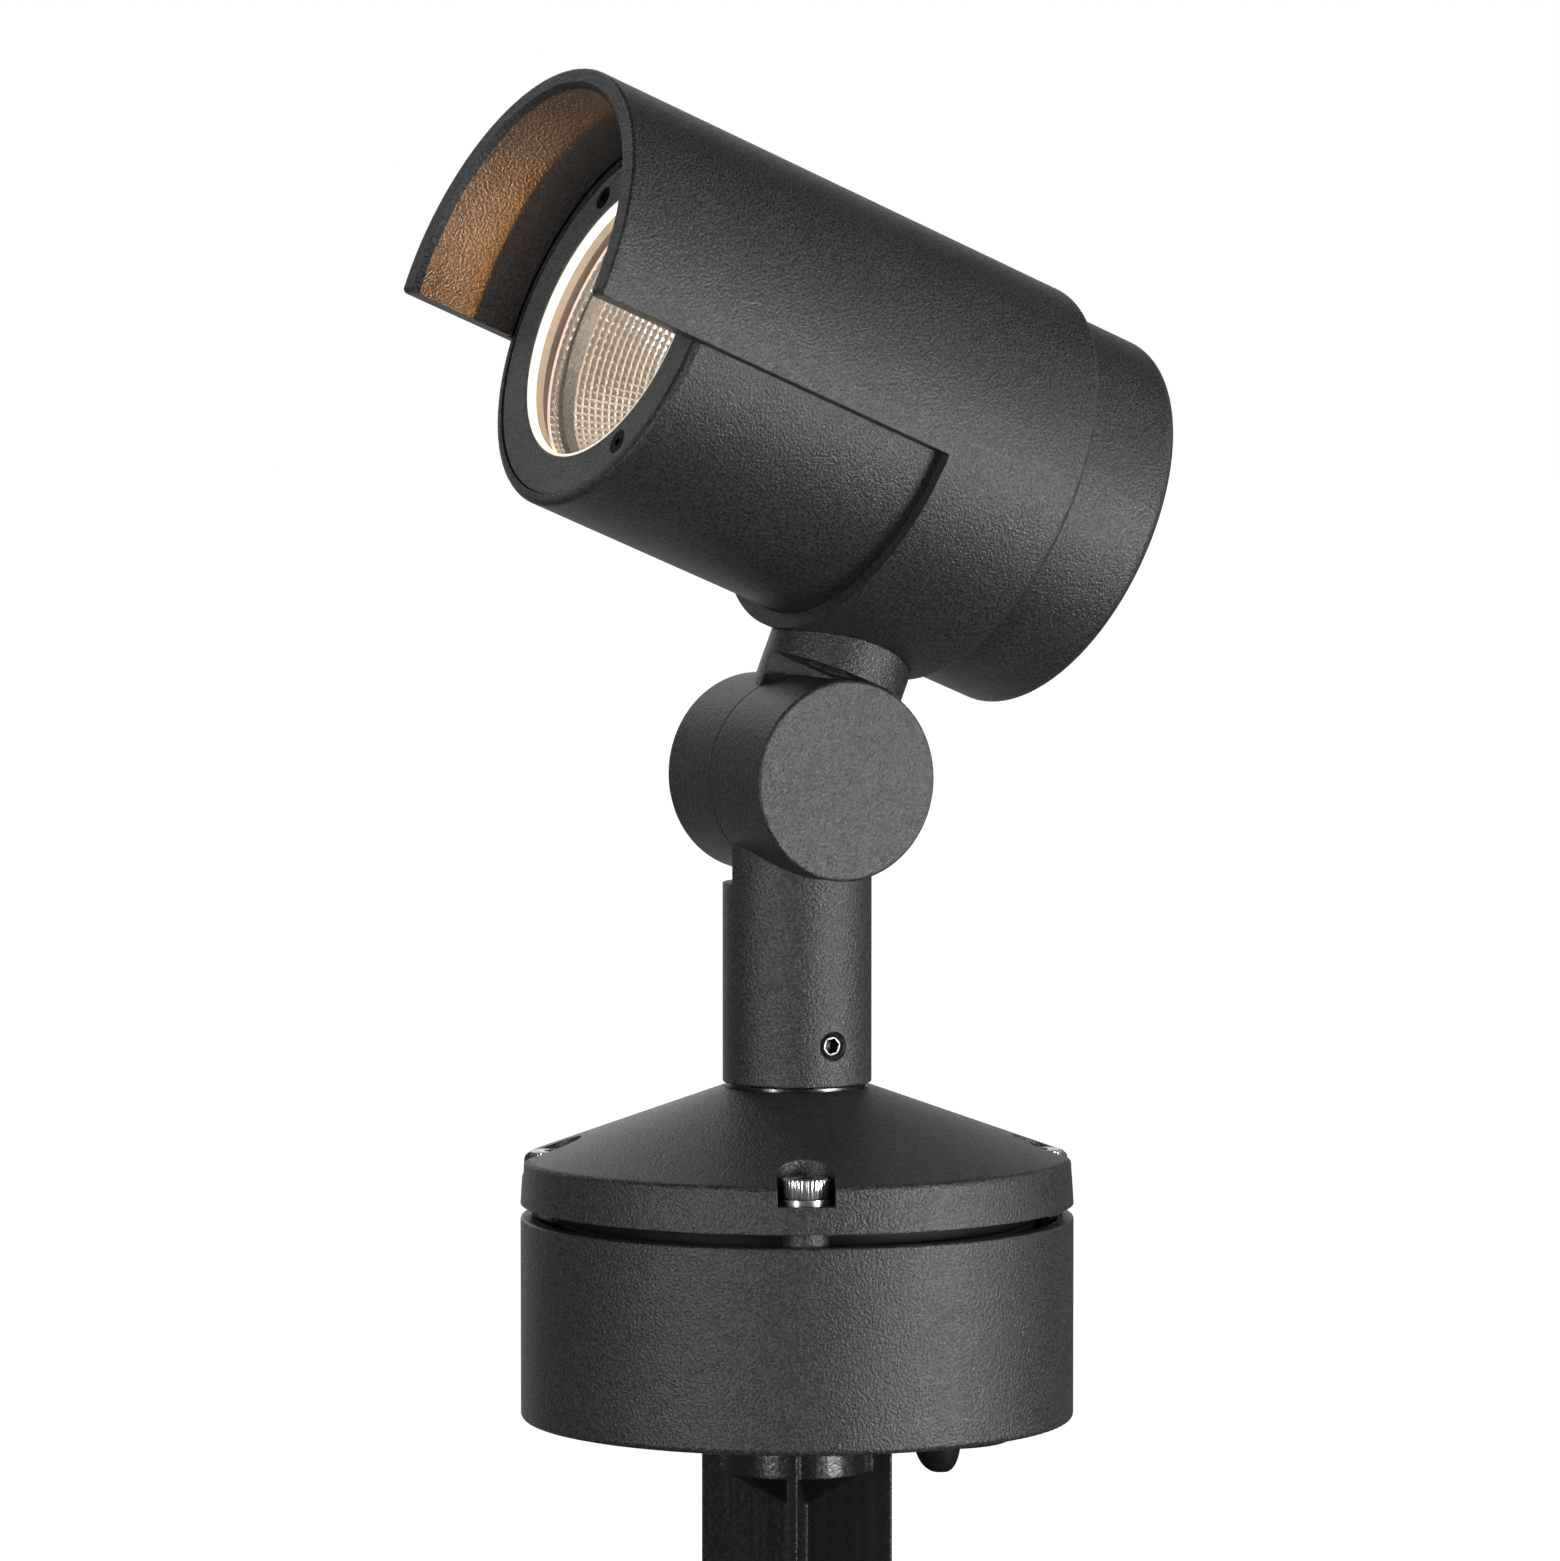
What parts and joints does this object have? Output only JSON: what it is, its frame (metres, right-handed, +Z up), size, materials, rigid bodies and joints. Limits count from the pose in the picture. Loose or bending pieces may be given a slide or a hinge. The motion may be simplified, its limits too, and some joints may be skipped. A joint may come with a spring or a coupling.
{
  "type": "garden spike spotlight",
  "caption": "Outdoor spotlight on a ground spike: round wiring box, swivelling stem, clamped tilt knuckle and a cylindrical lamp head with a long half-round glare hood.",
  "frame": {"origin": "centre of the wiring box's underside, at ground level, where the spike is bolted on", "axes": "+Z up along the spike, box and stem; the lamp shines towards -Y, tilted up by 22.3 degrees; X is the knuckle's axis"},
  "size_m": [0.1, 0.1272, 0.4227],
  "materials": {
    "dark_powder_coat": "die-cast aluminium, anthracite fine-textured powder coat, matt",
    "stainless_steel": "plain turned stainless steel",
    "brass": "turned brass",
    "black_plastic": "moulded black plastic, semi-gloss",
    "grey_plastic": "moulded light grey plastic",
    "black_rubber": "matt black rubber",
    "clear_silicone": "clear to milky silicone",
    "front_glass": "clear toughened glass",
    "bright_reflector": "bright anodised, faceted",
    "satin_aluminium": "plain satin aluminium",
    "led_phosphor": "yellow phosphor under clear silicone",
    "circuit_board": "green solder mask",
    "transformer_tape": "yellow tape over a ferrite core",
    "capacitor_sleeve": "dark printed sleeve, no print",
    "lead_sheath": "black wire insulation"
  },
  "bodies": {
    "base": {"junction_box": "dark_powder_coat", "box_lid": "dark_powder_coat", "lid_gasket": "black_rubber", "lid_screws": "stainless_steel", "lid_screw_washers": "stainless_steel", "cable_grommet": "black_rubber", "spike": "black_plastic", "spike_insert": "brass", "spike_washer": "stainless_steel", "spike_bolt": "stainless_steel", "terminal_block": "grey_plastic", "terminal_screws": "brass", "terminal_fixing_screws": "stainless_steel", "earth_screw": "stainless_steel", "swivel_spigot": "stainless_steel", "spigot_seal": "black_rubber", "spigot_nut": "stainless_steel", "base_lead": "lead_sheath"},
    "stem": {"stem": "dark_powder_coat", "stem_set_screw": "stainless_steel", "knuckle_o_ring": "black_rubber", "pivot_bolt": "stainless_steel", "stem_lead": "lead_sheath"},
    "head": {"tilt_arm": "dark_powder_coat", "glare_hood": "dark_powder_coat", "lamp_housing": "dark_powder_coat", "rear_cover": "dark_powder_coat", "front_bezel": "dark_powder_coat", "pivot_washer": "stainless_steel", "arm_screws": "stainless_steel", "bezel_screws": "stainless_steel", "led_screws": "stainless_steel", "board_standoffs": "stainless_steel", "board_screws": "stainless_steel", "led_holder": "black_plastic", "rear_o_ring": "black_rubber", "glass_gasket": "black_rubber", "lead_gland": "black_rubber", "bezel_seal": "clear_silicone", "front_glass": "front_glass", "reflector": "bright_reflector", "led_board": "satin_aluminium", "led_emitter": "led_phosphor", "driver_board": "circuit_board", "driver_terminal": "circuit_board", "driver_transformer": "transformer_tape", "driver_capacitors": "capacitor_sleeve", "head_lead": "lead_sheath", "led_leads": "lead_sheath"}
  },
  "joints": [
    {"name": "swivel", "type": "hinge", "parent": "base", "child": "stem", "pos_m": [0, 0, 0.0609], "axis": [0, 0, 1], "range_deg": [-170, 170]},
    {"name": "tilt", "type": "hinge", "parent": "stem", "child": "head", "pos_m": [0, 0, 0.1162], "axis": [-1, 0, 0], "range_deg": [-67.3, 67.7]}
  ]
}
